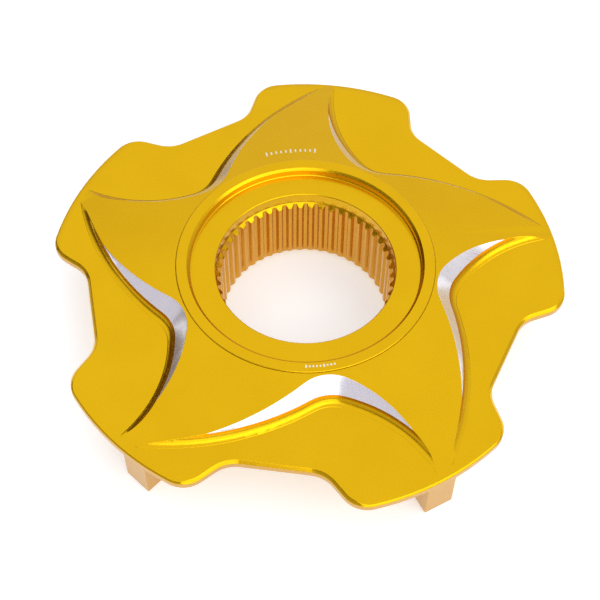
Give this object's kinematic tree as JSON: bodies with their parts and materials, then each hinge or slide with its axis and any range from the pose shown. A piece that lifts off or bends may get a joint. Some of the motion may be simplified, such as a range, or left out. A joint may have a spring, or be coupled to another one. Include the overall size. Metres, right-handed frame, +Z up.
{
  "type": "splined sprocket carrier",
  "caption": "Lobed carrier plate with a raised swirl star and bright cut facets, a splined central sleeve with a nut recess, and rectangular drive legs underneath.",
  "frame": {"origin": "on the spline's axis, in the plane of the leg feet", "axes": "+Z up along the spline's axis, out of the nut recess; +Y through the middle of one lobe; +X to the right of it"},
  "size_m": [0.1528, 0.1482, 0.0325],
  "materials": {
    "gold_plate": "bead-blasted and gold anodised, with bare bright-cut facets",
    "gold_hub": "fine turned and gold anodised",
    "gold_leg": "milled and pale gold anodised",
    "screw_steel": "black oxide"
  },
  "bodies": {
    "root": {"star_plate": "gold_plate", "splined_hub": "gold_hub", "drive_leg_1": "gold_leg", "drive_leg_2": "gold_leg", "drive_leg_3": "gold_leg", "drive_leg_4": "gold_leg", "drive_leg_5": "gold_leg", "hub_screws": "screw_steel", "leg_screws": "screw_steel"}
  },
  "joints": []
}
